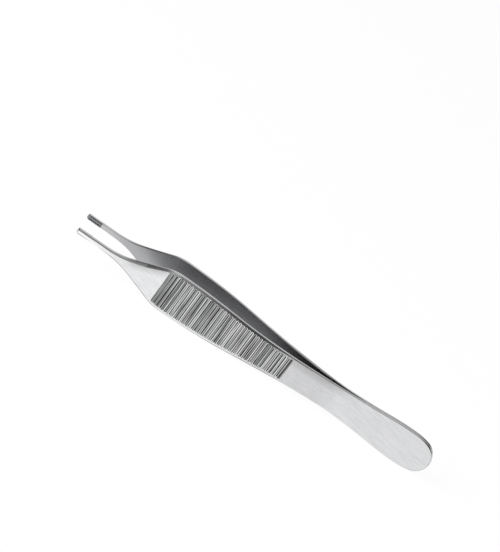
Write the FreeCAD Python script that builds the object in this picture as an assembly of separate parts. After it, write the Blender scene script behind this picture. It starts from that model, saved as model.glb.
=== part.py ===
import FreeCAD, Part
import math
import os
from FreeCAD import Vector

# Thumb forceps of the fine-tipped tissue pattern, with side teeth on the tips.
# Two spring steel arms are welded face to face at the heel and bow apart to the tips.
# Stations run from the tips, at 0, to the heel. While an arm is being made its inner
# face looks to -Y, its width runs along Z and its middle line lies at Z = 0.
# Millimetres and degrees.

overall_length = 120.0

# Face of an arm, seen square on. Widths are full widths.
tip_width = 1.6
tip_corner_radius = 0.7
tip_length = 14.2           # tip end to the corner where the arm starts to flare
flare_root_radius = 25.0
flare_length = 15.0         # that corner to the corner of the shoulder
shoulder_radius = 12.0
shoulder_run = 3.4          # shoulder corner to the widest place of the grip
grip_width = 12.95
grip_to_waist = 48.0
waist_width = 8.4
heel_width = 11.25
heel_round_length = 9.2     # widest place of the heel to its end
heel_side_radius = 24.0

# Where the two arcs of each swelling side edge meet, as shares of the way towards the heel.
grip_arc_share = 0.39
waist_arc_share = 0.74

# Arm seen on edge. Offsets are from the weld plane to the arm's inner face.
weld_length = 32.0          # heel end to the first bend
throat_length = 33.0        # first bend to the bend behind the grip
throat_offset = 3.75
front_bend_station = 30.0
front_bend_offset = 4.08
tip_root_station = 14.0
tip_root_offset = 4.95
tip_offset = 5.22
weld_bend_radius = 90.0
throat_bend_radius = 180.0
front_bend_radius = 60.0
tip_root_bend_radius = 60.0

heel_thickness = 1.05
throat_thickness = 1.35
front_bend_thickness = 1.4
tip_root_thickness = 1.25
tip_thickness = 0.95

outer_edge_break = 0.28     # 45 degree break around the outer face

# Cross ribs of the grip, left standing between grooves in the outer face.
rib_pitch = 1.06
rib_field_length = 43.5
rib_lead = 1.6              # the field starts this far ahead of the shoulder corner
groove_depth = 0.26
groove_mouth = 0.56
groove_floor = 0.30
groove_top_margin = 0.45
groove_bottom_margin = 0.62
groove_runout = 0.30        # length over which a groove's end rises to the face

# Side teeth of the tips, two rows along the edges of the inner face.
tooth_pitch = 0.64
tooth_height = 0.34
tooth_rows_length = 4.6
tooth_row_width = 0.50
tooth_row_start = 0.15      # tip end to the first tooth
tooth_row_margin = 0.06     # side edge of the tip to the side of a row

# Widest places and spans that follow from the sizes above.
shoulder_station = tip_length + flare_length
grip_station = shoulder_station + shoulder_run
waist_station = grip_station + grip_to_waist
heel_station = overall_length - heel_round_length
weld_bend_station = overall_length - weld_length
throat_station = weld_bend_station - throat_length
widest_place = max(grip_width, heel_width)

# Room by which cutting and joining bodies reach past the faces that they pass through.
overshoot = 1.0
tooth_root = 0.1


def rounded_path(corners, radii):
    """Straight runs through the corners, with a tangent arc at each inner corner."""
    edges = []
    start = corners[0]
    for before, corner, after, radius in zip(corners, corners[1:], corners[2:], radii):
        back = (before - corner).normalize()
        onward = (after - corner).normalize()
        half_turn = (math.pi - back.getAngle(onward)) / 2
        reach = radius * math.tan(half_turn)
        inward = (back + onward).normalize()
        arc_middle = corner + inward * (radius / math.cos(half_turn) - radius)
        arc_start = corner + back * reach
        arc_end = corner + onward * reach
        edges.append(Part.makeLine(start, arc_start))
        edges.append(Part.Arc(arc_start, arc_middle, arc_end).toShape())
        start = arc_end
    edges.append(Part.makeLine(start, corners[-1]))
    return edges


def level_arc(level_end, other_end):
    """The arc of a side edge that is level at one end and passes through the other."""
    along = other_end.x - level_end.x
    rise = other_end.z - level_end.z
    turn = 2 * math.atan2(abs(rise), abs(along))
    radius = abs(rise) / (1 - math.cos(turn))
    middle = level_end + Vector(
        math.copysign(radius * math.sin(turn / 2), along), 0,
        math.copysign(radius * (1 - math.cos(turn / 2)), rise))
    return Part.Arc(level_end, middle, other_end).toShape()


def swell(start, end, share):
    """Two arcs, level at both ends, that meet at a share of the way between them."""
    meeting = start + (end - start) * share
    return [level_arc(start, meeting), level_arc(end, meeting)]


def heel_arch(side, end):
    """Round end of the heel: a slack arc from its side, then a round one to its end."""
    length = end.x - side.x
    half = side.z
    end_radius = ((2 * heel_side_radius * half - length ** 2 - half ** 2)
                  / (2 * (heel_side_radius - length)))
    side_centre = side - Vector(0, 0, heel_side_radius)
    end_centre = end - Vector(end_radius, 0, 0)
    outward = (end_centre - side_centre).normalize()
    meeting = end_centre + outward * end_radius
    slack = math.atan2(outward.x, outward.z)
    side_middle = side_centre + heel_side_radius * Vector(
        math.sin(slack / 2), 0, math.cos(slack / 2))
    half_way = (math.pi / 2 + slack) / 2
    end_middle = end_centre + end_radius * Vector(math.sin(half_way), 0, math.cos(half_way))
    return [Part.Arc(side, side_middle, meeting).toShape(),
            Part.Arc(meeting, end_middle, end).toShape()]


def side_edge_line():
    """Upper side edge of an arm, from the middle of its nose to the middle of its heel."""
    tip_half = tip_width / 2
    grip_half = grip_width / 2
    front_corners = [
        Vector(0, 0, 0),
        Vector(0, 0, tip_half),
        Vector(tip_length, 0, tip_half),
        Vector(shoulder_station, 0, grip_half),
        Vector(grip_station, 0, grip_half),
    ]
    edges = rounded_path(front_corners, [tip_corner_radius, flare_root_radius, shoulder_radius])
    grip = front_corners[-1]
    waist = Vector(waist_station, 0, waist_width / 2)
    heel = Vector(heel_station, 0, heel_width / 2)
    end = Vector(overall_length, 0, 0)
    edges += swell(grip, waist, grip_arc_share)
    edges += swell(waist, heel, waist_arc_share)
    edges += heel_arch(heel, end)
    return edges


def face_line(extra):
    """A line that follows an arm lengthwise on edge; extra is its offset at each corner."""
    stations = [overall_length, weld_bend_station, throat_station,
                front_bend_station, tip_root_station, 0.0]
    offsets = [0.0, 0.0, throat_offset, front_bend_offset, tip_root_offset, tip_offset]
    corners = [Vector(x, y + more, 0) for x, y, more in zip(stations, offsets, extra)]
    radii = [weld_bend_radius, throat_bend_radius, front_bend_radius, tip_root_bend_radius]
    return rounded_path(corners, radii)


def inner_face_line():
    return face_line([0.0] * 6)


def outer_face_line():
    return face_line([heel_thickness, heel_thickness, throat_thickness,
                      front_bend_thickness, tip_root_thickness, tip_thickness])


def crossing(edges, station, across):
    """Where a line crosses a station, and its direction there; across is Y or Z."""
    far = across * overall_length
    ray = Part.makeLine(Vector(station, 0, 0) - far, Vector(station, 0, 0) + far)
    for edge in edges:
        gap, pairs, _ = edge.distToShape(ray)
        if gap < 1e-6:
            point = pairs[0][0]
            return point, edge.tangentAt(edge.Curve.parameter(point))
    raise ValueError("no part of the line lies at station %g" % station)


def prism(edges, direction):
    """A solid between the closed outline and its copy moved along the direction."""
    outline = Part.Wire(Part.__sortEdges__(edges))
    return Part.Face(outline).extrude(direction)


def arm_blank():
    """The bent, tapered strip before its edges are broken."""
    upper = side_edge_line()
    lower = [edge.mirror(Vector(0, 0, 0), Vector(0, 0, 1)) for edge in upper]
    depth = tip_offset + tip_thickness + overshoot
    face = prism(upper + lower, Vector(0, depth + overshoot, 0))
    face.translate(Vector(0, -overshoot, 0))

    inner = inner_face_line()
    outer = outer_face_line()
    heel_end = Part.makeLine(Vector(overall_length, 0, 0),
                             Vector(overall_length, heel_thickness, 0))
    nose_end = Part.makeLine(Vector(0, tip_offset, 0),
                             Vector(0, tip_offset + tip_thickness, 0))
    width = widest_place + 2 * overshoot
    strip = prism(inner + outer + [heel_end, nose_end], Vector(0, 0, width))
    strip.translate(Vector(0, 0, -width / 2))
    return strip.common(face).Solids[0]


def outer_face_edges(solid):
    """Edges around the outer face, apart from the seams that cross it."""
    wire = Part.Wire(Part.__sortEdges__(outer_face_line()))
    swept = wire.extrude(Vector(0, 0, widest_place))
    swept.translate(Vector(0, 0, -widest_place / 2))
    found = []
    for edge in solid.Edges:
        middle = edge.valueAt((edge.FirstParameter + edge.LastParameter) / 2)
        crosses_the_arm = abs(middle.z) < 1e-6
        if not crosses_the_arm and swept.distToShape(Part.Vertex(middle))[0] < 1e-5:
            found.append(edge)
    return found


def groove_cutter(station, side_edge, outer):
    """One groove's body: a bar with sloping sides, and ends that rise to the face."""
    half_width = crossing(side_edge, station, Vector(0, 0, 1))[0].z
    on_face, along = crossing(outer, station, Vector(0, 1, 0))
    top = half_width - groove_top_margin
    bottom = -(half_width - groove_bottom_margin)
    grow = overshoot / groove_depth
    mouth = groove_mouth / 2 + (groove_mouth - groove_floor) / 2 * grow
    runout = groove_runout * (1 + grow)
    floor_bottom = bottom + groove_runout
    floor_top = top - groove_runout
    bar = Part.makeWedge(
        -groove_floor / 2, -groove_depth, floor_bottom, floor_bottom - runout, -mouth,
        groove_floor / 2, overshoot, floor_top, floor_top + runout, mouth)
    slope = math.degrees(math.atan2(-along.y, -along.x))
    bar.Placement = FreeCAD.Placement(on_face, FreeCAD.Rotation(Vector(0, 0, 1), slope))
    return bar


def rib_grooves():
    side_edge = side_edge_line()
    outer = outer_face_line()
    field_start = shoulder_station - rib_lead
    count = int(rib_field_length / rib_pitch)
    return [groove_cutter(field_start + (i + 0.5) * rib_pitch, side_edge, outer)
            for i in range(count)]


def tooth_row(shift):
    """A saw-edged strip on the inner face of the tip; shift staggers it along the arm."""
    root = Vector(tip_root_station, tip_root_offset, 0)
    tip = Vector(0, tip_offset, 0)
    along = (root - tip).normalize()
    inward = Vector(along.y, -along.x, 0)
    count = int(tooth_rows_length / tooth_pitch)
    start = tip + along * (tooth_row_start + shift)
    points = [start - inward * tooth_root]
    for i in range(count):
        foot = start + along * (i * tooth_pitch)
        points.append(foot)
        points.append(foot + along * (tooth_pitch / 2) + inward * tooth_height)
    end = start + along * (count * tooth_pitch)
    points.append(end)
    points.append(end - inward * tooth_root)
    outline = Part.makePolygon(points + [points[0]])
    return Part.Face(outline).extrude(Vector(0, 0, tooth_row_width))


def tip_teeth(shift):
    upper = tooth_row(shift)
    upper.translate(Vector(0, 0, tip_width / 2 - tooth_row_margin - tooth_row_width))
    lower = upper.mirror(Vector(0, 0, 0), Vector(0, 0, 1))
    return [upper, lower]


def make_arm(tooth_shift):
    blank = arm_blank()
    broken = blank.makeChamfer(outer_edge_break, outer_face_edges(blank))
    toothed = broken.fuse(tip_teeth(tooth_shift))
    return toothed.cut(rib_grooves()).Solids[0]


def lay_down(arms):
    """Tilts the pair to rest on the grip and the heel, and centres it on the origin."""
    drop = (grip_width - heel_width) / 2
    tilt = math.degrees(math.atan2(drop, heel_station - grip_station))
    for arm in arms.values():
        arm.rotate(Vector(0, 0, 0), Vector(0, 1, 0), tilt)
    box = Part.Compound(list(arms.values())).optimalBoundingBox(False)
    for arm in arms.values():
        arm.translate(Vector(-box.Center.x, 0, -box.ZMin))


# Seen from the heel, with the tips pointing away, the left arm lies at -Y.
right_arm = make_arm(tooth_pitch / 2)
left_arm = make_arm(0.0).mirror(Vector(0, 0, 0), Vector(0, 1, 0))
arms = {"left_arm": left_arm, "right_arm": right_arm}
lay_down(arms)

os.makedirs("parts", exist_ok=True)
for name, arm in arms.items():
    arm.exportStep("parts/%s.step" % name)
    print(name, "volume %.1f mm3" % arm.Volume, arm.optimalBoundingBox(False), "valid", arm.isValid())
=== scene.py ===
import math

import bmesh
import bpy
import numpy as np
from mathutils import Matrix, Vector


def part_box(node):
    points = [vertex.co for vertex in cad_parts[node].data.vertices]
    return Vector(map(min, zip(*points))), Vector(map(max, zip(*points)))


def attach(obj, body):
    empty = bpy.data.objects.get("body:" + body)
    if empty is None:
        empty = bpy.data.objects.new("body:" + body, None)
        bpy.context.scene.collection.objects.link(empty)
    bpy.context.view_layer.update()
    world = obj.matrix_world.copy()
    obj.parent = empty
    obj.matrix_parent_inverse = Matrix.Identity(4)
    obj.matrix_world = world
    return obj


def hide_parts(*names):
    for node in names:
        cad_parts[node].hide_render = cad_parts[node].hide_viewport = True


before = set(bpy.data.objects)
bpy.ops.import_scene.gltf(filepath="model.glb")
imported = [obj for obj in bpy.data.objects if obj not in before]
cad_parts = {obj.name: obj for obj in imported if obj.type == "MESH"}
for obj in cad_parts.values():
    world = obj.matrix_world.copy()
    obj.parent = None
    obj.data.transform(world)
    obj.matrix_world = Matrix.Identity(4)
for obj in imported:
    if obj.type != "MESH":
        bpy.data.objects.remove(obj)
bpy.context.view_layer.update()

MM = 0.001

# Face of an arm, seen square on. Stations run from the tips, at 0, to the heel.
OVERALL_LENGTH = 120.0 * MM
TIP_HALF = 0.8 * MM
NOSE_LENGTH = 0.7 * MM
NOSE_SQUARENESS = 2.3
TIP_LENGTH = 14.2 * MM
FLARE_ROOT_RADIUS = 25.0 * MM
SHOULDER_STATION = 29.2 * MM
SHOULDER_RADIUS = 12.0 * MM
GRIP_STATION = 32.6 * MM
GRIP_HALF = 6.475 * MM
GRIP_ARC_SHARE = 0.39
WAIST_STATION = 80.6 * MM
WAIST_HALF = 4.2 * MM
WAIST_ARC_SHARE = 0.74
HEEL_STATION = 110.8 * MM
HEEL_HALF = 5.625 * MM
HEEL_SIDE_RADIUS = 24.0 * MM

# Arm seen on edge: station, offset of the inner face, thickness there, and the bend's radius.
BENDS = [
    (0.0, 5.22 * MM, 0.95 * MM, None),
    (14.0 * MM, 4.95 * MM, 1.25 * MM, 60.0 * MM),
    (30.0 * MM, 4.08 * MM, 1.40 * MM, 60.0 * MM),
    (55.0 * MM, 3.75 * MM, 1.35 * MM, 180.0 * MM),
    (88.0 * MM, 0.0, 1.05 * MM, 90.0 * MM),
    (OVERALL_LENGTH, 0.0, 1.05 * MM, None),
]

# Radius around the inner face, wider where the arms meet and leave a seam between them.
INNER_ROUND_STATIONS = [80.0 * MM, 86.0 * MM, 91.0 * MM, 96.0 * MM]
INNER_ROUNDS = [0.16 * MM, 0.32 * MM, 0.30 * MM, 0.16 * MM]

# Height of the bevel on the upper edge of the outer face: widest on the flare, slight on the heel.
UPPER_BEVEL_STATIONS = [0.0, 4.0 * MM, 8.0 * MM, 13.0 * MM, 17.5 * MM, 21.5 * MM, 26.0 * MM, 31.0 * MM,
                        60.0 * MM, 66.0 * MM, 70.0 * MM, 74.0 * MM, 80.0 * MM, 92.0 * MM, 98.0 * MM,
                        110.0 * MM, 114.0 * MM, 117.0 * MM]
UPPER_BEVELS = [0.52 * MM, 0.52 * MM, 0.42 * MM, 0.52 * MM, 0.72 * MM, 1.00 * MM, 0.70 * MM, 0.66 * MM,
                0.68 * MM, 0.50 * MM, 0.30 * MM, 0.18 * MM, 0.12 * MM, 0.12 * MM, 0.14 * MM,
                0.14 * MM, 0.10 * MM, 0.34 * MM]
LOWER_BEVEL = 0.30 * MM
BEVEL_SLOPE = 0.5
EDGE_SOFTNESS = 0.08 * MM
EDGE_SOFT_SHARE = 0.4           # of the bevel's height, where it is narrow
FOOT_SOFTNESS = 0.12 * MM
FOOT_SOFT_SHARE = 0.6

# Cross ribs of the grip, left standing between round-ended grooves.
RIB_PITCH = 1.06 * MM
RIB_START = 27.7 * MM
GROOVE_COUNT = 41
GROOVE_WIDTH = 0.66 * MM
GROOVE_DEPTH = 0.20 * MM
GROOVE_TOP_MARGIN = 0.64 * MM
GROOVE_BOTTOM_MARGIN = 0.74 * MM
FIRST_GROOVE_NARROWER = -0.45   # as a share of the width
LAST_GROOVE_NARROWER = -0.40
RIBBED_FROM_TOP = (0.50 * MM, 0.64 * MM)
RIBBED_FROM_BOTTOM = (0.64 * MM, 0.84 * MM)
FIELD_STARTS_AT = 0.36          # in pitches from the start and the end of the field
FIELD_ENDS_BEFORE = 0.2
FLANKS_START_AT = 1.4
FAR_FROM_GROOVE = 4.0           # said of the steel outside the rib field, in half widths of a groove

# Unevenness of the grooves, as of hand-ground ones: the most that each trait varies at unevenness 1.
GROOVE_UNEVENNESS = 0.35
PLACE_SPREAD = 0.12             # in pitches
WIDTH_SPREAD = 0.45
DEPTH_SPREAD = 0.8
RIPPLES_PER_METRE = 260.0
RIPPLE_DETAIL = 1.0
# Spread of the painted shade in the grooves, and the share of painted highlight at a groove's upper end.
GROOVE_TONES = (0.0, 0.40)
TOP_END_HIGHLIGHT = 0.1
PLACE_SEED = 11
WIDTH_SEED = 23
DEPTH_SEED = 37
RIB_TONE_SEED = 53
GROOVE_TONE_SEED = 71
FLANK_TONE_SEED = 97

# Side teeth, two rows along the edges of the inner face of each tip.
TOOTH_PITCH = 0.64 * MM
TOOTH_HEIGHT = 0.34 * MM
TOOTH_WIDTH = 0.50 * MM
TOOTH_CREST = 0.07 * MM
TOOTH_ROOT = 0.10 * MM
TOOTH_COUNT = 7
TOOTH_ROW_START = 0.15 * MM
TOOTH_ROW_HEIGHT = TIP_HALF - 0.06 * MM - TOOTH_WIDTH / 2
TOOTH_EDGE_BREAK = 0.02 * MM
PAD_LENGTH = 4.9 * MM

# Spacing of the mesh rows along an arm, and of the points around one row, as shares of its height.
FINE_ROW = RIB_PITCH / 16
TIP_ROW = 0.25 * MM
COARSE_ROW = 0.8 * MM
NOSE_ROWS = 14
HEEL_END_ROWS = 30
CORNER_STEPS = 3
INNER_SHARES = (0.0, 0.4, 0.75, 0.95)
OUTER_SHARES = (0.99, 0.98, 0.965, 0.95, 0.93, 0.9, 0.86, 0.78, 0.6, 0.4, 0.2, 0.0)
MERGE_DISTANCE = 0.0001 * MM
SLIVER = 0.00001 * MM
LEAST_RISE = 1e-18              # square metres, so that a root at an arc's end stays real


# Lines of an arm

def straight(start, end):
    """A straight run of a line, as a function of its station."""
    slope = (end.y - start.y) / (end.x - start.x)
    return start.x, end.x, lambda x: (start.y + slope * (x - start.x), slope)


def arc(start, end, centre):
    """An arc of a line about a centre, as a function of its station."""
    radius = (start - centre).length
    side = math.copysign(1.0, (start + end).y / 2 - centre.y)

    def along(x):
        reach = x - centre.x
        rise = math.sqrt(max(radius * radius - reach * reach, LEAST_RISE))
        return centre.y + side * rise, -side * reach / rise
    return start.x, end.x, along


def rounded_path(corners, radii):
    """Straight runs through the corners, with a tangent arc at each inner corner."""
    runs = []
    start = corners[0]
    for before, corner, after, radius in zip(corners, corners[1:], corners[2:], radii):
        back = (before - corner).normalized()
        onward = (after - corner).normalized()
        half_turn = (math.pi - back.angle(onward)) / 2
        reach = radius * math.tan(half_turn)
        centre = corner + (back + onward).normalized() * (radius / math.cos(half_turn))
        runs.append(straight(start, corner + back * reach))
        runs.append(arc(corner + back * reach, corner + onward * reach, centre))
        start = corner + onward * reach
    runs.append(straight(start, corners[-1]))
    return runs


def level_arc_centre(level_end, other_end):
    """Centre of the arc that is level at one end and passes through the other."""
    along = other_end.x - level_end.x
    rise = other_end.y - level_end.y
    radius = (along * along + rise * rise) / (2 * abs(rise))
    return level_end + Vector((0.0, math.copysign(radius, rise)))


def swell(start, end, share):
    """Two arcs, level at both ends, that meet at a share of the way between them."""
    meeting = start.lerp(end, share)
    return [arc(start, meeting, level_arc_centre(start, meeting)),
            arc(meeting, end, level_arc_centre(end, meeting))]


def value_and_slope(runs, station):
    """Height of a line at a station, and its slope there."""
    for start, end, along in runs:
        if station <= end:
            return along(max(station, start))
    return runs[-1][2](runs[-1][1])


def heel_end_arc():
    """Centre and radius of the round end of the heel, and where its side arc meets it."""
    length = OVERALL_LENGTH - HEEL_STATION
    radius = ((2 * HEEL_SIDE_RADIUS * HEEL_HALF - length ** 2 - HEEL_HALF ** 2)
              / (2 * (HEEL_SIDE_RADIUS - length)))
    centre = Vector((OVERALL_LENGTH - radius, 0.0))
    side_centre = Vector((HEEL_STATION, HEEL_HALF - HEEL_SIDE_RADIUS))
    meeting = centre + (centre - side_centre).normalized() * radius
    return centre, radius, side_centre, meeting


def side_edge_runs():
    """Upper side edge of an arm, from behind its nose to the round end of its heel."""
    corners = [Vector((0.0, TIP_HALF)), Vector((TIP_LENGTH, TIP_HALF)),
               Vector((SHOULDER_STATION, GRIP_HALF)), Vector((GRIP_STATION, GRIP_HALF))]
    waist = Vector((WAIST_STATION, WAIST_HALF))
    heel = Vector((HEEL_STATION, HEEL_HALF))
    runs = rounded_path(corners, [FLARE_ROOT_RADIUS, SHOULDER_RADIUS])
    runs += swell(corners[-1], waist, GRIP_ARC_SHARE)
    runs += swell(waist, heel, WAIST_ARC_SHARE)
    _, _, side_centre, meeting = heel_end_arc()
    runs.append(arc(heel, meeting, side_centre))
    return runs


def face_runs(share):
    """Line of a face seen on edge: share 0 is the inner face, share 1 the outer one."""
    corners = [Vector((station, offset + share * thickness))
               for station, offset, thickness, _ in BENDS]
    return rounded_path(corners, [radius for _, _, _, radius in BENDS[1:-1]])


SIDE_EDGE = side_edge_runs()
INNER_FACE = face_runs(0.0)
OUTER_FACE = face_runs(1.0)


# Mesh of an arm

def spaced(start, end, spacing):
    """Stations from start up to, but not including, end."""
    count = max(1, math.ceil((end - start) / spacing))
    return [start + (end - start) * i / count for i in range(count)]


def outline_rows():
    """Places along the side edge, each with the direction that points out of the arm."""
    rows = []
    for i in range(NOSE_ROWS):
        turn = math.pi / 2 * i / NOSE_ROWS
        along = math.cos(turn) ** (2 / NOSE_SQUARENESS)
        across = math.sin(turn) ** (2 / NOSE_SQUARENESS)
        out = Vector((-along ** (NOSE_SQUARENESS - 1) / NOSE_LENGTH,
                      across ** (NOSE_SQUARENESS - 1) / TIP_HALF)).normalized()
        rows.append((Vector((NOSE_LENGTH * (1 - along), TIP_HALF * across)), out))
    field_end = RIB_START + GROOVE_COUNT * RIB_PITCH
    centre, radius, _, meeting = heel_end_arc()
    stations = (spaced(NOSE_LENGTH, TIP_LENGTH, TIP_ROW) + spaced(TIP_LENGTH, RIB_START, TIP_ROW)
                + spaced(RIB_START, field_end, FINE_ROW) + spaced(field_end, HEEL_STATION, COARSE_ROW)
                + spaced(HEEL_STATION, meeting.x, COARSE_ROW / 2))
    for station in stations:
        half, slope = value_and_slope(SIDE_EDGE, station)
        rows.append((Vector((station, half)), Vector((-slope, 1.0)).normalized()))
    first = math.atan2(meeting.y, meeting.x - centre.x)
    for i in range(HEEL_END_ROWS + 1):
        turn = first * (1 - i / HEEL_END_ROWS)
        out = Vector((math.cos(turn), math.sin(turn)))
        rows.append((centre + out * radius, out))
    return rows


def bevel_line(height):
    """Insets and depths across a bevel of the outer edge, with both of its corners softened."""
    along = Vector((1.0, BEVEL_SLOPE)).normalized()
    edge = Vector((0.0, -height * BEVEL_SLOPE))
    foot = Vector((height, 0.0))
    edge_softness = min(EDGE_SOFTNESS, height * EDGE_SOFT_SHARE)
    foot_softness = min(FOOT_SOFTNESS, height * FOOT_SOFT_SHARE)
    corners = [(edge - Vector((0.0, edge_softness)), edge, edge + along * edge_softness),
               (foot - along * foot_softness, foot, foot + Vector((foot_softness, 0.0)))]
    line = []
    for start, corner, end in corners:
        for i in range(CORNER_STEPS + 1):
            share = i / CORNER_STEPS
            line.append(start.lerp(corner, share).lerp(corner.lerp(end, share), share))
    return line


def section(place, out, bevel):
    """Half of one ring: points from the middle of the inner face to that of the outer, with their notes."""
    inner_round = float(np.interp(place.x, INNER_ROUND_STATIONS, INNER_ROUNDS))
    points = []

    def add(inset, depth, face, share, on_outer, on_inner=0.0, on_bevel=0.0):
        x = place.x - out.x * inset
        offset = value_and_slope(face, x)[0] + depth
        height = (place.y - out.y * inset) * share
        points.append((x, offset, height, on_outer, on_inner, on_bevel))

    for share in INNER_SHARES:
        add(inner_round, 0.0, INNER_FACE, share, 0.0, 1.0)
    for i in range(CORNER_STEPS + 1):
        turn = math.pi / 2 * i / CORNER_STEPS
        add(inner_round * (1 - math.sin(turn)), inner_round * (1 - math.cos(turn)),
            INNER_FACE, 1.0, 0.0, 1.0 - i / CORNER_STEPS)
    line = bevel_line(bevel)
    for i, (inset, depth) in enumerate(line):
        past_edge = max(0, i - CORNER_STEPS + 1)
        before_foot = len(line) - 1 - i
        on_bevel = min(1.0, past_edge / 2, before_foot / 2)
        add(inset, depth, OUTER_FACE, 1.0, min(1.0, i / CORNER_STEPS), 0.0, on_bevel)
    for share in OUTER_SHARES:
        add(line[-1][0], 0.0, OUTER_FACE, share, 1.0)
    return points


def arm_rings():
    """Rings of points around an arm, and each point's distance from the upper and the lower edge."""
    rings = []
    edge_up = []
    edge_low = []
    for place, out in outline_rows():
        upper_bevel = float(np.interp(place.x, UPPER_BEVEL_STATIONS, UPPER_BEVELS))
        upper = section(place, out, upper_bevel)
        lower = [(x, y, -z, *notes) for x, y, z, *notes in section(place, out, LOWER_BEVEL)[-2:0:-1]]
        rings.append(upper + lower)
        edge_up += [place.y - point[2] for point in upper + lower]
        edge_low += [place.y + point[2] for point in upper + lower]
    return rings, edge_up, edge_low


def ring_faces(rings):
    """Faces between each ring and the next, as numbers of their points."""
    count = len(rings[0])
    faces = []
    for row in range(len(rings) - 1):
        for column in range(count):
            after = (column + 1) % count
            faces.append((row * count + column, row * count + after,
                          (row + 1) * count + after, (row + 1) * count + column))
    return faces


def arm_body():
    """Closed mesh of one arm in its own frame, with what its grooves and material need to know."""
    rings, edge_up, edge_low = arm_rings()
    points = [point for ring in rings for point in ring]
    mesh = bpy.data.meshes.new("arm_body")
    mesh.from_pydata([point[:3] for point in points], [], ring_faces(rings))
    notes = {"station": [point[0] for point in points], "edge_up": edge_up,
             "edge_low": edge_low, "outer_face": [point[3] for point in points],
             "inner_face": [point[4] for point in points], "bevel": [point[5] for point in points]}
    for name, values in notes.items():
        mesh.attributes.new(name, "FLOAT", "POINT").data.foreach_set("value", values)
    shape = bmesh.new()
    shape.from_mesh(mesh)
    bmesh.ops.remove_doubles(shape, verts=shape.verts, dist=MERGE_DISTANCE)
    bmesh.ops.dissolve_degenerate(shape, edges=shape.edges, dist=SLIVER)
    bmesh.ops.recalc_face_normals(shape, faces=shape.faces)
    shape.to_mesh(mesh)
    shape.free()
    mesh.shade_smooth()
    return bpy.data.objects.new("arm_body", mesh)


def pad_line():
    """Start and direction of the inner face of the tip, and the direction away from it."""
    tip = Vector((0.0, BENDS[0][1], 0.0))
    root = Vector((BENDS[1][0], BENDS[1][1], 0.0))
    along = (root - tip).normalized()
    return tip, along, Vector((along.y, -along.x, 0.0))


def tooth():
    """One tooth: a low ridge across the row, with a blunt crest and bevelled edges."""
    _, along, inward = pad_line()
    half = TOOTH_PITCH / 2
    outline = [(-half, -TOOTH_ROOT), (-half, 0.0), (-TOOTH_CREST / 2, TOOTH_HEIGHT),
               (TOOTH_CREST / 2, TOOTH_HEIGHT), (half, 0.0), (half, -TOOTH_ROOT)]
    shape = bmesh.new()
    ends = []
    for side in (-0.5, 0.5):
        ends.append([shape.verts.new(along * a + inward * b + Vector((0, 0, side * TOOTH_WIDTH)))
                     for a, b in outline])
    shape.faces.new(ends[0])
    shape.faces.new(ends[1])
    for i in range(len(outline)):
        j = (i + 1) % len(outline)
        shape.faces.new((ends[0][i], ends[0][j], ends[1][j], ends[1][i]))
    bmesh.ops.recalc_face_normals(shape, faces=shape.faces)
    bmesh.ops.bevel(shape, geom=shape.edges[:], offset=TOOTH_EDGE_BREAK, segments=1, affect="EDGES")
    mesh = bpy.data.meshes.new("tooth")
    shape.to_mesh(mesh)
    shape.free()
    return bpy.data.objects.new("tooth", mesh)


# Geometry nodes that cut the ribs and set the teeth

class Tree:
    """A geometry node tree under construction, with short ways to add to it."""

    def __init__(self, name):
        self.tree = bpy.data.node_groups.new(name, "GeometryNodeTree")
        self.tree.interface.new_socket("Geometry", in_out="INPUT", socket_type="NodeSocketGeometry")
        self.tree.interface.new_socket("Geometry", in_out="OUTPUT", socket_type="NodeSocketGeometry")
        self.values = {}

    def size(self, name, value, kind="NodeSocketFloat"):
        """A named input of the tree, and the value that it is given."""
        socket = self.tree.interface.new_socket(name, in_out="INPUT", socket_type=kind)
        self.values[socket.identifier] = value
        return name

    def node(self, kind, inputs=None, **settings):
        """A new node, with its settings and what goes into its sockets."""
        made = self.tree.nodes.new(kind)
        for name, value in settings.items():
            setattr(made, name, value)
        for key, value in (inputs or {}).items():
            self.put(made.inputs[key], value)
        return made

    def put(self, socket, value):
        """Links a socket, or sets it."""
        if isinstance(value, bpy.types.NodeSocket):
            self.tree.links.new(value, socket)
        else:
            socket.default_value = value

    def math(self, operation, *values):
        """The result of one sum."""
        return self.node("ShaderNodeMath", dict(enumerate(values)), operation=operation).outputs[0]

    def risen(self, value, span):
        """0 before a span of a value and 1 past it."""
        return self.node("ShaderNodeMapRange", {
            "Value": value, "From Min": span[0], "From Max": span[1]}).outputs[0]

    def note(self, name):
        """Reads what the arm's mesh says of itself at each point."""
        return self.node("GeometryNodeInputNamedAttribute", {"Name": name}, data_type="FLOAT").outputs[0]

    def keep(self, geometry, name, value):
        """Writes a value for the material to read."""
        stored = self.node("GeometryNodeStoreNamedAttribute",
                           {"Geometry": geometry, "Name": name, "Value": value},
                           data_type="FLOAT", domain="POINT")
        return stored.outputs["Geometry"]


def chance(tree, number, seed, low, high):
    """A fixed random value for each groove."""
    drawn = tree.node("FunctionNodeRandomValue", data_type="FLOAT")
    tree.put(drawn.inputs[2], low)
    tree.put(drawn.inputs[3], high)
    tree.put(drawn.inputs["ID"], number)
    tree.put(drawn.inputs["Seed"], seed)
    return drawn.outputs[1]


def groove_places(tree, sizes):
    """Station in pitches from the start of the field, the groove's number, and 1 inside the field."""
    place = tree.math("DIVIDE", tree.math("SUBTRACT", tree.note("station"), sizes["Rib start"]),
                      sizes["Rib pitch"])
    count = tree.math("FLOOR", place)
    inside = tree.math("MULTIPLY", tree.math("GREATER_THAN", count, -0.5),
                       tree.math("LESS_THAN", count, tree.math("SUBTRACT", sizes["Groove count"], 0.5)))
    return place, count, inside


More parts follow.
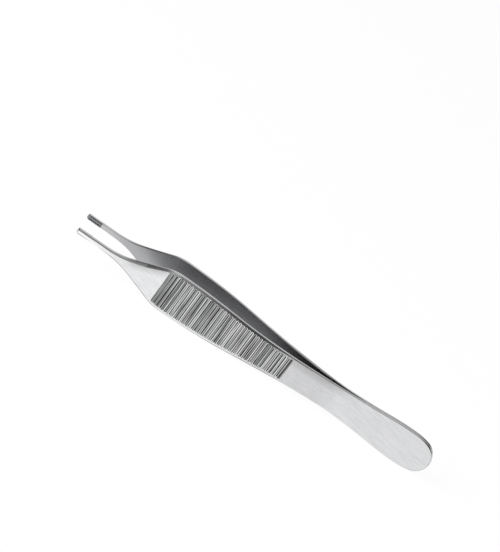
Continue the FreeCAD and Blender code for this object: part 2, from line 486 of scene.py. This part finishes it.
def half_width(tree, sizes, count, first):
    """Half the width of each groove, less for the first and the last."""
    last = tree.math("GREATER_THAN", count, tree.math("SUBTRACT", sizes["Groove count"], 1.5))
    end_width = tree.math("MULTIPLY_ADD", last, LAST_GROOVE_NARROWER,
                          tree.math("MULTIPLY_ADD", first, FIRST_GROOVE_NARROWER, 1.0))
    spread = tree.math("MULTIPLY", chance(tree, count, WIDTH_SEED, -WIDTH_SPREAD, WIDTH_SPREAD),
                       sizes["Unevenness"])
    return tree.math("MULTIPLY", tree.math("MULTIPLY", sizes["Groove width"], 0.5),
                     tree.math("ADD", end_width, spread))


def off_centre(tree, sizes, count):
    """Distance along the arm from the middle of the nearest groove."""
    wander = tree.math("MULTIPLY", chance(tree, count, PLACE_SEED, -PLACE_SPREAD, PLACE_SPREAD),
                       sizes["Unevenness"])
    number = tree.math("ADD", tree.math("ADD", count, 0.5), wander)
    centre = tree.math("ADD", sizes["Rib start"], tree.math("MULTIPLY", number, sizes["Rib pitch"]))
    return tree.math("SUBTRACT", tree.note("station"), centre)


def past_groove_end(tree, sizes, half):
    """How far a point lies past the straight part of a groove, above or below."""
    to_end = tree.math("MINIMUM", tree.math("SUBTRACT", tree.note("edge_up"), sizes["Top margin"]),
                       tree.math("SUBTRACT", tree.note("edge_low"), sizes["Bottom margin"]))
    return tree.math("MAXIMUM", 0.0, tree.math("SUBTRACT", half, to_end))


def groove_offset(tree, sizes, count, inside, share):
    """The move of each point into its groove, deepest on the centre line."""
    in_groove = tree.math("MULTIPLY", tree.math("MINIMUM", 1.0, share), math.pi)
    hollow = tree.math("MULTIPLY_ADD", tree.math("COSINE", in_groove), 0.5, 0.5)
    pressed = tree.math("MULTIPLY", tree.math("MULTIPLY", hollow, inside), tree.note("outer_face"))
    ripple = tree.node("ShaderNodeTexNoise", {
        "Vector": tree.node("GeometryNodeInputPosition").outputs[0],
        "Scale": RIPPLES_PER_METRE, "Detail": RIPPLE_DETAIL})
    uneven = tree.math("ADD", chance(tree, count, DEPTH_SEED, -DEPTH_SPREAD, DEPTH_SPREAD),
                       tree.math("MULTIPLY_ADD", ripple.outputs[0], 2 * DEPTH_SPREAD, -DEPTH_SPREAD))
    deeper = tree.math("MULTIPLY_ADD", uneven, sizes["Unevenness"], 1.0)
    depth = tree.math("MULTIPLY", tree.math("MULTIPLY", pressed, deeper), sizes["Groove depth"])
    normal = tree.node("GeometryNodeInputNormal").outputs[0]
    return tree.node("ShaderNodeVectorMath", {0: normal, "Scale": tree.math("MULTIPLY", depth, -1.0)},
                     operation="SCALE").outputs[0]


def rib_field(tree, sizes, place):
    """1 where the outer face is ribbed, and less towards the field's upper and lower edge."""
    near_end = tree.math("MULTIPLY", tree.risen(tree.note("edge_up"), RIBBED_FROM_TOP),
                         tree.risen(tree.note("edge_low"), RIBBED_FROM_BOTTOM))
    started = tree.math("GREATER_THAN", place, FIELD_STARTS_AT)
    unfinished = tree.math("LESS_THAN", place,
                           tree.math("SUBTRACT", sizes["Groove count"], FIELD_ENDS_BEFORE))
    return tree.math("MULTIPLY", tree.math("MULTIPLY", near_end, tree.note("outer_face")),
                     tree.math("MULTIPLY", started, unfinished))


def from_nearest_groove(tree, inside, share):
    """Distance from the nearest groove in half widths, far outside the field."""
    reached = tree.math("MULTIPLY", inside, tree.note("outer_face"))
    clear = tree.math("SUBTRACT", 1.0, reached)
    return tree.math("MULTIPLY_ADD", clear, FAR_FROM_GROOVE, tree.math("MULTIPLY", share, reached))


def groove_end_highlight(tree, sizes, half, past_end):
    """How much painted highlight the rim round a groove's end gets: much below, a little above."""
    past_low = tree.math("MAXIMUM", 0.0, tree.math(
        "ADD", half, tree.math("SUBTRACT", sizes["Bottom margin"], tree.note("edge_low"))))
    lit_end = tree.math("MAXIMUM", past_low, tree.math("MULTIPLY", past_end, TOP_END_HIGHLIGHT))
    return tree.math("DIVIDE", lit_end, half)


def cut_grooves(tree, sizes, geometry):
    """Presses a round-ended groove into the outer face at each pitch, and notes where the material paints
    the ribs' light and shade.
    """
    place, count, inside = groove_places(tree, sizes)
    first = tree.math("LESS_THAN", count, 0.5)
    half = half_width(tree, sizes, count, first)
    past_end = past_groove_end(tree, sizes, half)
    distance = tree.math("SQRT", tree.math(
        "ADD", tree.math("POWER", off_centre(tree, sizes, count), 2.0), tree.math("POWER", past_end, 2.0)))
    share = tree.math("DIVIDE", distance, half)
    rib = tree.math("FLOOR", tree.math("ADD", place, 0.5))
    flank = tree.math("FLOOR", tree.math("MULTIPLY", place, 2.0))
    notes = {
        "from_groove": from_nearest_groove(tree, inside, share),
        "ribbed": rib_field(tree, sizes, place),
        "rib_tone": chance(tree, rib, RIB_TONE_SEED, 0.0, 1.0),
        "groove_tone": tree.math("MAXIMUM", first, chance(tree, count, GROOVE_TONE_SEED, *GROOVE_TONES)),
        "groove_end": groove_end_highlight(tree, sizes, half, past_end),
        "flank_tone": tree.math("MULTIPLY", chance(tree, flank, FLANK_TONE_SEED, 0.0, 1.0),
                                tree.math("GREATER_THAN", place, FLANKS_START_AT))}
    marked = geometry
    for name, value in notes.items():
        marked = tree.keep(marked, name, value)
    offset = groove_offset(tree, sizes, count, inside, share)
    return tree.node("GeometryNodeSetPosition", {"Geometry": marked, "Offset": offset}).outputs[0]


def set_teeth(tree, sizes, start, step, height):
    """One row of teeth along an edge of the tip's inner face."""
    first = tree.node("ShaderNodeCombineXYZ", {"X": start.x, "Y": start.y, "Z": height}).outputs[0]
    line = tree.node("GeometryNodeMeshLine", {"Start Location": first, "Offset": step,
                                              "Count": sizes["Tooth count"]}, mode="OFFSET")
    ridge = tree.node("GeometryNodeObjectInfo", {"Object": sizes["Tooth"]}).outputs["Geometry"]
    return tree.node("GeometryNodeInstanceOnPoints",
                     {"Points": line.outputs[0], "Instance": ridge}).outputs[0]


def both_rows(tree, sizes, tooth_shift):
    """The upper and the lower row of teeth of an arm, marked as part of its pad."""
    tip, along, _ = pad_line()
    start = tip + along * (TOOTH_ROW_START + tooth_shift + TOOTH_PITCH / 2)
    step = along * TOOTH_PITCH
    rows = [set_teeth(tree, sizes, start, step, sizes["Row height"]),
            set_teeth(tree, sizes, start, step, tree.math("MULTIPLY", sizes["Row height"], -1.0))]
    both = tree.node("GeometryNodeJoinGeometry")
    for row in reversed(rows):
        tree.tree.links.new(row, both.inputs[0])
    teeth = tree.node("GeometryNodeRealizeInstances", {"Geometry": both.outputs[0]}).outputs[0]
    return tree.keep(teeth, "pad", 1.0)


def arm_tree(tooth_shift, steel, ridge):
    """The tree that turns a plain arm into a ribbed and toothed one."""
    tree = Tree("ribs_and_teeth")
    names = [
        tree.size("Rib start", RIB_START), tree.size("Rib pitch", RIB_PITCH),
        tree.size("Groove count", GROOVE_COUNT, "NodeSocketInt"),
        tree.size("Groove width", GROOVE_WIDTH), tree.size("Groove depth", GROOVE_DEPTH),
        tree.size("Top margin", GROOVE_TOP_MARGIN), tree.size("Bottom margin", GROOVE_BOTTOM_MARGIN),
        tree.size("Unevenness", GROOVE_UNEVENNESS),
        tree.size("Tooth count", TOOTH_COUNT, "NodeSocketInt"),
        tree.size("Row height", TOOTH_ROW_HEIGHT), tree.size("Pad length", PAD_LENGTH),
        tree.size("Tooth", ridge, "NodeSocketObject"), tree.size("Steel", steel, "NodeSocketMaterial")]
    entry = tree.node("NodeGroupInput")
    sizes = {name: entry.outputs[name] for name in names}
    ribbed = cut_grooves(tree, sizes, entry.outputs["Geometry"])
    on_pad = tree.math("MULTIPLY", tree.math("LESS_THAN", tree.note("station"), sizes["Pad length"]),
                       tree.note("inner_face"))
    body = tree.keep(ribbed, "pad", on_pad)
    teeth = both_rows(tree, sizes, tooth_shift)
    whole = tree.node("GeometryNodeJoinGeometry")
    for part in (teeth, body):
        tree.tree.links.new(part, whole.inputs[0])
    real = tree.node("GeometryNodeRealizeInstances", {"Geometry": whole.outputs[0]}).outputs[0]
    dressed = tree.node("GeometryNodeSetMaterial", {"Geometry": real, "Material": sizes["Steel"]})
    leave = tree.node("NodeGroupOutput")
    tree.tree.links.new(dressed.outputs[0], leave.inputs[0])
    return tree


def grown_mesh(piece, tree):
    """Runs a tree on a piece and returns the plain mesh that it makes."""
    modifier = piece.modifiers.new("ribs_and_teeth", "NODES")
    modifier.node_group = tree.tree
    for identifier, value in tree.values.items():
        modifier[identifier] = value
    bpy.context.scene.collection.objects.link(piece)
    bpy.context.view_layer.update()
    grown = bpy.data.meshes.new_from_object(
        piece.evaluated_get(bpy.context.evaluated_depsgraph_get()))
    bpy.data.objects.remove(piece)
    return grown


def laid_down(mesh, node, side):
    """Puts an arm's mesh where its CAD node lies: tilted onto grip and heel, and on its own side."""
    tilt = math.atan2(GRIP_HALF - HEEL_HALF, HEEL_STATION - GRIP_STATION)
    turn = Matrix.Rotation(tilt, 4, "Y")
    mirror = Matrix.Scale(side, 4, (0, 1, 0))
    mesh.transform(turn @ mirror)
    if side < 0:
        mesh.flip_normals()
    points = np.zeros(len(mesh.vertices) * 3)
    mesh.vertices.foreach_get("co", points)
    points = points.reshape(-1, 3)
    low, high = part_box(node)
    middle = (low.x + high.x) / 2 - (points[:, 0].min() + points[:, 0].max()) / 2
    mesh.transform(Matrix.Translation((middle, 0.0, -points[:, 2].min())))
    mesh.update()


def arm(node, side, tooth_shift, steel):
    """One finished arm that stands for its CAD node."""
    ridge = tooth()
    bpy.context.scene.collection.objects.link(ridge)
    mesh = grown_mesh(arm_body(), arm_tree(tooth_shift, steel, ridge))
    bpy.data.objects.remove(ridge)
    laid_down(mesh, node, side)
    piece = bpy.data.objects.new(node + "_steel", mesh)
    bpy.context.scene.collection.objects.link(piece)
    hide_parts(node)
    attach(piece, "root")
    return piece


# Finish

def shader(material, kind, inputs=None, **settings):
    """A new shader node, with its settings and what goes into its sockets."""
    made = material.node_tree.nodes.new(kind)
    for name, value in settings.items():
        setattr(made, name, value)
    for key, value in (inputs or {}).items():
        if isinstance(value, bpy.types.NodeSocket):
            material.node_tree.links.new(value, made.inputs[key])
        else:
            made.inputs[key].default_value = value
    return made


def mixed(material, factor, first, second):
    """A colour between two, by a factor."""
    made = shader(material, "ShaderNodeMix", data_type="RGBA")
    for socket, value in zip((made.inputs[0], made.inputs[6], made.inputs[7]), (factor, first, second)):
        if isinstance(value, bpy.types.NodeSocket):
            material.node_tree.links.new(value, socket)
        else:
            socket.default_value = value
    return made.outputs[2]


def noted(material, name):
    """What the mesh says of itself under a name."""
    return shader(material, "ShaderNodeAttribute", attribute_name=name).outputs["Fac"]


def ranged(material, value, low, high, to_low, to_high):
    """A value carried from one span to another, and held at its ends."""
    return shader(material, "ShaderNodeMapRange", {
        "Value": value, "From Min": low, "From Max": high, "To Min": to_low, "To Max": to_high}).outputs[0]


def product(material, first, *others):
    """The product of a few values."""
    result = first
    for factor in others:
        result = shader(material, "ShaderNodeMath", {0: result, 1: factor}, operation="MULTIPLY").outputs[0]
    return result


def window(material, value, rise, fall):
    """1 between two spans of a value and 0 outside them; across each span it rises or falls."""
    return product(material, ranged(material, value, *rise, 0.0, 1.0),
                   ranged(material, value, *fall, 1.0, 0.0))


# Outer faces: painted light at the tips, and painted shade towards the heel and on the faces that bend
# towards it.
TIP_STEEL = (0.97, 0.972, 0.98, 1.0)
STEEL = (0.863, 0.866, 0.877, 1.0)
HEEL_STEEL = (0.755, 0.758, 0.768, 1.0)
BEND_STEEL = (0.64, 0.642, 0.651, 1.0)
# Inner faces: painted shade between the arms, lighter at the tips and deepest at the throat.
INNER_TIP_STEEL = (0.56, 0.562, 0.572, 1.0)
INNER_STEEL = (0.468, 0.47, 0.48, 1.0)
INNER_THROAT_STEEL = (0.34, 0.342, 0.35, 1.0)
# Ribs: a painted dark reflection on the crests, painted highlights on the flanks and painted shade in the
# grooves, each paler or darker at random.
RIB_STEEL = (0.06, 0.06, 0.06, 1.0)
PALE_RIB_STEEL = (0.30, 0.302, 0.304, 1.0)
FLANK_STEEL = (0.30, 0.302, 0.304, 1.0)
LIGHT_FLANK_STEEL = (0.90, 0.905, 0.91, 1.0)
GROOVE_STEEL = (0.03, 0.03, 0.03, 1.0)
PALE_GROOVE_STEEL = (0.42, 0.422, 0.424, 1.0)
# Painted dark reflection along the nose and the inner edges.
EDGE_STEEL = (0.45, 0.45, 0.45, 1.0)
# Painted dark reflection on the upper bevel of the tips.
BEVEL_STEEL = (0.46, 0.462, 0.466, 1.0)
# Painted shade in the seam where the arms meet, paler along the heel.
SEAM_STEEL = (0.03, 0.03, 0.03, 1.0)
HEEL_SEAM_STEEL = (0.70, 0.70, 0.70, 1.0)
# Painted dark reflection of the shaded floor along the lower edge, paler at the shoulder.
FLARE_EDGE_STEEL = (0.12, 0.121, 0.122, 1.0)
SHOULDER_EDGE_STEEL = (0.50, 0.502, 0.506, 1.0)
GRIP_EDGE_STEEL = (0.05, 0.051, 0.052, 1.0)
# Painted shade between the teeth of the toothed pads.
PAD_STEEL = (0.30, 0.305, 0.31, 1.0)

# Stations between which the painted light and shade change.
TIP_END = (7 * MM, 14 * MM)
HEEL_START = (70 * MM, 92 * MM)
CREASE_START = (12 * MM, 20 * MM)
SEAM_START = (80 * MM, 84 * MM)
SEAM_END = (92 * MM, 94 * MM)
HEEL_SEAM_START = (94 * MM, 98 * MM)
INNER_THROAT_START = (60 * MM, 70 * MM)
SHOULDER_START = (27 * MM, 33 * MM)
GRIP_START = (38 * MM, 48 * MM)
NOSE_END = (1.5 * MM, 3.0 * MM)
TIP_LINE_END = (2.0 * MM, 5.0 * MM)
TIP_BEVEL_END = (17.0 * MM, 21.0 * MM)
LOWER_LINE_START = (7 * MM, 12 * MM)
LOWER_LINE_END = (66 * MM, 72 * MM)
THROAT_START = (66 * MM, 73 * MM)
THROAT_END = (84 * MM, 95 * MM)
FLARE_START = (15 * MM, 19 * MM)
FLARE_END = (26.5 * MM, 29 * MM)

# Shade below the upper edge, at the flare and at the throat.
SHADE_REACH = (0.6 * MM, 2.9 * MM)
FLARE_SHADE = 0.32
THROAT_SHADE = 0.25

# Parts of the surface's direction between which the painted light and shade change.
BEND_FACING = (0.05, 0.13)
BEND_SHARE = 0.9
UNDERSIDE_FACING = (-0.30, -0.45)
BEVEL_FACING = (0.1, 0.3)
NOSE_FACING = (-0.3, -0.5)
PAD_FACING = (0.6, 0.9)

# Spans of the notes on the mesh between which the painted light and shade change, and the grooves'
# roughness.
INNER_EDGE_START = (0.0, 0.15)
INNER_EDGE_END = (0.9, 1.0)
GROOVE_SIDE = (0.35, 0.65)
RIB_CREST = (1.05, 1.3)

# Brushing, soft clouds, and patches that shift the painted light and shade of the ribs.
STREAK_SIZE = (4.0 * MM, 0.30 * MM, 0.30 * MM)
STREAK_LEAN = math.radians(8.0)
STREAK_DETAIL = 5.0
STREAK_ROUGHNESS = 0.6
STREAK_TONES = (0.35, 0.70)
STREAK_DEPTH = 0.14
CLOUD_SIZE = (14.0 * MM, 2.0 * MM, 2.0 * MM)
CLOUD_DETAIL = 2.0
NOISE_SPAN = (0.3, 0.7)
SATIN_ROUGHNESS = (0.17, 0.27)
CLOUD_ROUGHNESS = 0.03
DULL_ROUGHNESS = 0.22
INNER_DULLNESS = 0.5
OUTER_BUMP = 0.25
INNER_BUMP = 0.04
BUMP_HEIGHT = 0.02 * MM
PATCH_SIZE = (0.45 * MM, 2.0 * MM, 8.0 * MM)
PATCH_DETAIL = 1.0
PATCH_SPAN = (0.35, 0.65)
RIB_PATCH_SHIFT = 0.28


def brushing(material):
    """Fine streaks that run nearly lengthwise, and wide soft clouds."""
    place = shader(material, "ShaderNodeTexCoord").outputs["Object"]
    along = shader(material, "ShaderNodeMapping", {
        "Vector": place, "Rotation": (0.0, STREAK_LEAN, 0.0), "Scale": STREAK_SIZE}, vector_type="TEXTURE")
    streaks = shader(material, "ShaderNodeTexNoise", {
        "Vector": along.outputs[0], "Scale": 1.0, "Detail": STREAK_DETAIL, "Roughness": STREAK_ROUGHNESS})
    wide = shader(material, "ShaderNodeMapping", {
        "Vector": place, "Scale": CLOUD_SIZE}, vector_type="TEXTURE")
    clouds = shader(material, "ShaderNodeTexNoise", {
        "Vector": wide.outputs[0], "Scale": 1.0, "Detail": CLOUD_DETAIL})
    return streaks.outputs[0], clouds.outputs[0]


def face_colour(material, station, facing, streaks):
    """Colour of the outer faces, with painted light and shade: lightest at the tips, darker at the bends,
    the throat and the heel, and shaded below the upper edge.
    """
    tip = ranged(material, station, *TIP_END, 0.0, 1.0)
    heel = ranged(material, station, *HEEL_START, 0.0, 1.0)
    bend = ranged(material, facing["X"], *BEND_FACING, 0.0, BEND_SHARE)
    colour = mixed(material, tip, TIP_STEEL, STEEL)
    colour = mixed(material, heel, colour, HEEL_STEEL)
    colour = mixed(material, bend, colour, BEND_STEEL)
    near_edge = ranged(material, noted(material, "edge_up"), *SHADE_REACH, 1.0, 0.0)
    shaded = shader(material, "ShaderNodeMath", {
        0: product(material, window(material, station, THROAT_START, THROAT_END), THROAT_SHADE),
        1: product(material, window(material, station, FLARE_START, FLARE_END), FLARE_SHADE)},
        operation="ADD").outputs[0]
    shade = product(material, near_edge, shaded)
    unshaded = shader(material, "ShaderNodeMath", {0: 1.0, 1: shade}, operation="SUBTRACT").outputs[0]
    level = product(material, unshaded, ranged(material, streaks, *STREAK_TONES, 1.0, 1.0 - STREAK_DEPTH))
    return shader(material, "ShaderNodeVectorMath", {0: colour, "Scale": level},
                  operation="SCALE").outputs[0]


def underside_line(material, station, facing, plain):
    """The plain colour with a painted dark line along the lower edge, from the flare to the end of the
    grip, standing for the shaded floor in reflection.
    """
    lined = shader(material, "ShaderNodeMath", {
        0: window(material, station, LOWER_LINE_START, LOWER_LINE_END),
        1: ranged(material, station, *TIP_LINE_END, 1.0, 0.0)}, operation="MAXIMUM").outputs[0]
    under = product(material, ranged(material, facing["Z"], *UNDERSIDE_FACING, 0.0, 1.0), lined)
    shoulder = ranged(material, station, *SHOULDER_START, 0.0, 1.0)
    lower = mixed(material, shoulder, FLARE_EDGE_STEEL, SHOULDER_EDGE_STEEL)
    lower = mixed(material, ranged(material, station, *GRIP_START, 0.0, 1.0), lower, GRIP_EDGE_STEEL)
    return mixed(material, under, plain, lower)


def tip_bevel_line(material, station, facing, plain):
    """The plain colour with the upper bevel of the tip painted darker, as a painted dark reflection."""
    on_tip = ranged(material, station, *TIP_BEVEL_END, 1.0, 0.0)
    upper = ranged(material, facing["Z"], *BEVEL_FACING, 0.0, 1.0)
    bevelled = product(material, noted(material, "bevel"), on_tip, upper)
    return mixed(material, bevelled, plain, BEVEL_STEEL)


def edged_colour(material, station, facing, inner, plain):
    """The plain colour with painted dark lines, as shade and dark reflections, along the nose, the inner
    edges, the seam and the underside.
    """
    colour = underside_line(material, station, facing, plain)
    colour = tip_bevel_line(material, station, facing, colour)
    inner_edge = window(material, inner, INNER_EDGE_START, INNER_EDGE_END)
    crease = product(material, inner_edge, ranged(material, station, *CREASE_START, 0.0, 1.0))
    nose = product(material, ranged(material, facing["X"], *NOSE_FACING, 0.0, 1.0),
                   ranged(material, station, *NOSE_END, 1.0, 0.0))
    outline = shader(material, "ShaderNodeMath", {0: nose, 1: crease}, operation="MAXIMUM").outputs[0]
    line = mixed(material, window(material, station, SEAM_START, SEAM_END), EDGE_STEEL, SEAM_STEEL)
    line = mixed(material, ranged(material, station, *HEEL_SEAM_START, 0.0, 1.0), line, HEEL_SEAM_STEEL)
    return mixed(material, outline, colour, line)


def rib_patches(material):
    """Soft patches, long across the arm, where the painted highlights and shade of the ribs come and go."""
    place = shader(material, "ShaderNodeTexCoord").outputs["Object"]
    across = shader(material, "ShaderNodeMapping", {
        "Vector": place, "Scale": PATCH_SIZE}, vector_type="TEXTURE")
    patches = shader(material, "ShaderNodeTexNoise", {
        "Vector": across.outputs[0], "Scale": 1.0, "Detail": PATCH_DETAIL})
    return ranged(material, patches.outputs[0], *PATCH_SPAN, -RIB_PATCH_SHIFT, RIB_PATCH_SHIFT)


def varied_tone(material, name, patch_shift):
    """A noted tone of the painted rib lines, made paler and darker in places by the patches."""
    return shader(material, "ShaderNodeMath", {0: noted(material, name), 1: patch_shift},
                  operation="ADD", use_clamp=True).outputs[0]


def rib_colour(material, from_groove, hollow):
    """Painted light and shade across a rib: a crest darkened as a painted dark reflection, flanks partly
    lit by painted highlights, and a groove in painted shade.
    """
    patch_shift = rib_patches(material)
    rib = mixed(material, varied_tone(material, "rib_tone", patch_shift), RIB_STEEL, PALE_RIB_STEEL)
    light = shader(material, "ShaderNodeMath", {
        0: varied_tone(material, "flank_tone", patch_shift), 1: noted(material, "groove_end")},
        operation="ADD", use_clamp=True).outputs[0]
    flank = mixed(material, light, FLANK_STEEL, LIGHT_FLANK_STEEL)
    groove = mixed(material, varied_tone(material, "groove_tone", patch_shift), GROOVE_STEEL, PALE_GROOVE_STEEL)
    crest = mixed(material, ranged(material, from_groove, *RIB_CREST, 0.0, 1.0), flank, rib)
    return mixed(material, hollow, crest, groove)


def steel_colour(material, streaks, inner, from_groove, hollow):
    """Colour of the steel all over an arm, with its painted light and shade."""
    normal = shader(material, "ShaderNodeTexCoord").outputs["Normal"]
    facing = shader(material, "ShaderNodeSeparateXYZ", {0: normal}).outputs
    station = noted(material, "station")
    # Painted shade on the inner faces, between the arms, deepest at the throat.
    inside = mixed(material, ranged(material, station, *TIP_END, 0.0, 1.0), INNER_TIP_STEEL, INNER_STEEL)
    throat = ranged(material, station, *INNER_THROAT_START, 0.0, 1.0)
    inside = mixed(material, throat, inside, INNER_THROAT_STEEL)
    plain = mixed(material, inner, face_colour(material, station, facing, streaks), inside)
    edged = edged_colour(material, station, facing, inner, plain)
    ribbed = mixed(material, noted(material, "ribbed"), edged, rib_colour(material, from_groove, hollow))
    # Painted shade on the toothed pads, but not on faces turned up or down.
    upright = shader(material, "ShaderNodeMath", {0: facing["Z"]}, operation="ABSOLUTE").outputs[0]
    toothed = product(material, noted(material, "pad"), ranged(material, upright, *PAD_FACING, 1.0, 0.0))
    return mixed(material, toothed, ribbed, PAD_STEEL)


def steel_roughness(material, streaks, clouds, inner, hollow):
    """Roughness of the steel: satin, with soft clouds, and duller in the grooves and inside."""
    satin = ranged(material, streaks, *NOISE_SPAN, *SATIN_ROUGHNESS)
    cloud = ranged(material, clouds, *NOISE_SPAN, -CLOUD_ROUGHNESS, CLOUD_ROUGHNESS)
    cloudy = shader(material, "ShaderNodeMath", {0: satin, 1: cloud}, operation="ADD").outputs[0]
    dull = shader(material, "ShaderNodeMath", {0: hollow, 1: product(material, inner, INNER_DULLNESS)},
                  operation="MAXIMUM").outputs[0]
    return shader(material, "ShaderNodeMath", {0: dull, 1: DULL_ROUGHNESS, 2: cloudy},
                  operation="MULTIPLY_ADD").outputs[0]


def satin_steel():
    """Satin steel with fine lengthwise brushing, dull in its grooves and on its inner faces, and with
    painted light and shade on its faces, edges, ribs and toothed pads.
    """
    material = bpy.data.materials.new("satin_steel")
    material.use_nodes = True
    surface = material.node_tree.nodes["Principled BSDF"]
    links = material.node_tree.links
    streaks, clouds = brushing(material)
    inner = noted(material, "inner_face")
    from_groove = noted(material, "from_groove")
    hollow = ranged(material, from_groove, *GROOVE_SIDE, 1.0, 0.0)
    links.new(steel_colour(material, streaks, inner, from_groove, hollow), surface.inputs["Base Color"])
    links.new(steel_roughness(material, streaks, clouds, inner, hollow), surface.inputs["Roughness"])
    strength = ranged(material, inner, 0.0, 1.0, OUTER_BUMP, INNER_BUMP)
    bump = shader(material, "ShaderNodeBump", {
        "Height": streaks, "Strength": strength, "Distance": BUMP_HEIGHT})
    links.new(bump.outputs[0], surface.inputs["Normal"])
    surface.inputs["Metallic"].default_value = 1.0
    return material


# Studio

FLOOR_COLOUR = (0.86, 0.86, 0.86, 1.0)
FLOOR_SIZE = 6.0
FLOOR_DROP = 0.02 * MM
WHITE = (1.0, 1.0, 1.0, 1.0)
FLOOR_WHITE_SHARE = 0.96


def floor():
    """A pale floor, nearly plain white to the camera and in the steel, that keeps the object's shadow."""
    half = FLOOR_SIZE / 2
    mesh = bpy.data.meshes.new("floor")
    corners = [(-half, -half), (half, -half), (half, half), (-half, half)]
    mesh.from_pydata([(x, y, -FLOOR_DROP) for x, y in corners], [], [(0, 1, 2, 3)])
    piece = bpy.data.objects.new("floor", mesh)
    bpy.context.scene.collection.objects.link(piece)
    material = bpy.data.materials.new("pale_floor")
    material.use_nodes = True
    material.node_tree.nodes.remove(material.node_tree.nodes["Principled BSDF"])
    matt = shader(material, "ShaderNodeBsdfDiffuse", {"Color": FLOOR_COLOUR}).outputs[0]
    plain = shader(material, "ShaderNodeEmission", {"Color": WHITE, "Strength": 1.0}).outputs[0]
    rays = shader(material, "ShaderNodeLightPath").outputs
    seen = shader(material, "ShaderNodeMath", {0: rays["Is Camera Ray"], 1: rays["Is Glossy Ray"]},
                  operation="MAXIMUM").outputs[0]
    shown = shader(material, "ShaderNodeMath", {0: seen, 1: rays["Is Transmission Ray"]},
                   operation="MAXIMUM").outputs[0]
    share = shader(material, "ShaderNodeMath", {0: shown, 1: FLOOR_WHITE_SHARE},
                   operation="MULTIPLY").outputs[0]
    both = shader(material, "ShaderNodeMixShader", {0: share, 1: matt, 2: plain}).outputs[0]
    material.node_tree.links.new(both, material.node_tree.nodes["Material Output"].inputs[0])
    mesh.materials.append(material)


# The air around, by the direction from the object: sideways X, away from the front Y and up Z.
AIR = (0.08, 0.08, 0.08, 1.0)
HORIZON_TOP = (0.06, 0.16)
OVERHEAD_STRIP = (0.62, 0.62, 0.62, 1.0)
STRIP_LEFT = (-0.23, -0.13)
STRIP_RIGHT = (-0.03, 0.145)
BACK_CARD = (0.61, 0.61, 0.61, 1.0)
BACK_CARD_LEFT = (-0.36, -0.22)
BACK_CARD_RIGHT = (0.25, 0.38)
BACK_CARD_NEAR = (0.55, 0.75)


def studio_air():
    """Air that is white at the horizon and dim above it, with a strip overhead and a card behind."""
    world = bpy.data.worlds.new("studio_air")
    world.use_nodes = True
    bpy.context.scene.world = world
    background = world.node_tree.nodes["Background"]
    direction = shader(world, "ShaderNodeTexCoord").outputs["Generated"]
    parts = shader(world, "ShaderNodeSeparateXYZ", {0: direction}).outputs
    strip = window(world, parts["X"], STRIP_LEFT, STRIP_RIGHT)
    behind = product(world, window(world, parts["X"], BACK_CARD_LEFT, BACK_CARD_RIGHT),
                     ranged(world, parts["Y"], *BACK_CARD_NEAR, 0.0, 1.0))
    above = mixed(world, behind, mixed(world, strip, AIR, OVERHEAD_STRIP), BACK_CARD)
    sky = mixed(world, ranged(world, parts["Z"], *HORIZON_TOP, 0.0, 1.0), WHITE, above)
    world.node_tree.links.new(sky, background.inputs["Color"])
    background.inputs["Strength"].default_value = 1.0


LEFT_SOFTBOX = {"place": Vector((-0.58, -0.35, 0.35)), "width": 0.5, "height": 0.4, "power": 11.0}
RIGHT_SOFTBOX = {"place": Vector((1.00, -0.30, 0.45)), "width": 0.8, "height": 0.6, "power": 8.0}


def softbox(name, place, width, height, power):
    """A large soft lamp aimed at the object, kept out of the steel, where it would show as a streak."""
    light = bpy.data.lights.new(name, "AREA")
    light.shape = "RECTANGLE"
    light.size = width
    light.size_y = height
    light.energy = power
    lamp = bpy.data.objects.new(name, light)
    lamp.location = place
    lamp.visible_glossy = False
    lamp.rotation_euler = (-place).to_track_quat("-Z", "Y").to_euler()
    bpy.context.scene.collection.objects.link(lamp)


CAMERA_PLACE = Vector((-51.06, -590.59, 296.67)) * MM
CAMERA_AIM = Vector((-12.906, 0.0, 22.430)) * MM
CAMERA_ROLL = math.radians(35.935)
CAMERA_LENS = 151.96
SENSOR_WIDTH = 36.0
NEAREST_SEEN = 0.01
FARTHEST_SEEN = 20.0


def camera():
    """The view from in front and above, rolled so that the heel hangs low."""
    lens = bpy.data.cameras.new("camera")
    lens.lens = CAMERA_LENS
    lens.sensor_width = SENSOR_WIDTH
    lens.clip_start = NEAREST_SEEN
    lens.clip_end = FARTHEST_SEEN
    piece = bpy.data.objects.new("camera", lens)
    level = (CAMERA_AIM - CAMERA_PLACE).to_track_quat("-Z", "Y").to_matrix().to_4x4()
    piece.matrix_world = Matrix.Translation(CAMERA_PLACE) @ level @ Matrix.Rotation(CAMERA_ROLL, 4, "Z")
    bpy.context.scene.collection.objects.link(piece)
    bpy.context.scene.camera = piece


steel = satin_steel()
arm("left_arm", -1.0, 0.0, steel)
arm("right_arm", 1.0, TOOTH_PITCH / 2, steel)

floor()
studio_air()
softbox("left_softbox", **LEFT_SOFTBOX)
softbox("right_softbox", **RIGHT_SOFTBOX)
camera()
bpy.context.scene.view_settings.view_transform = "Standard"
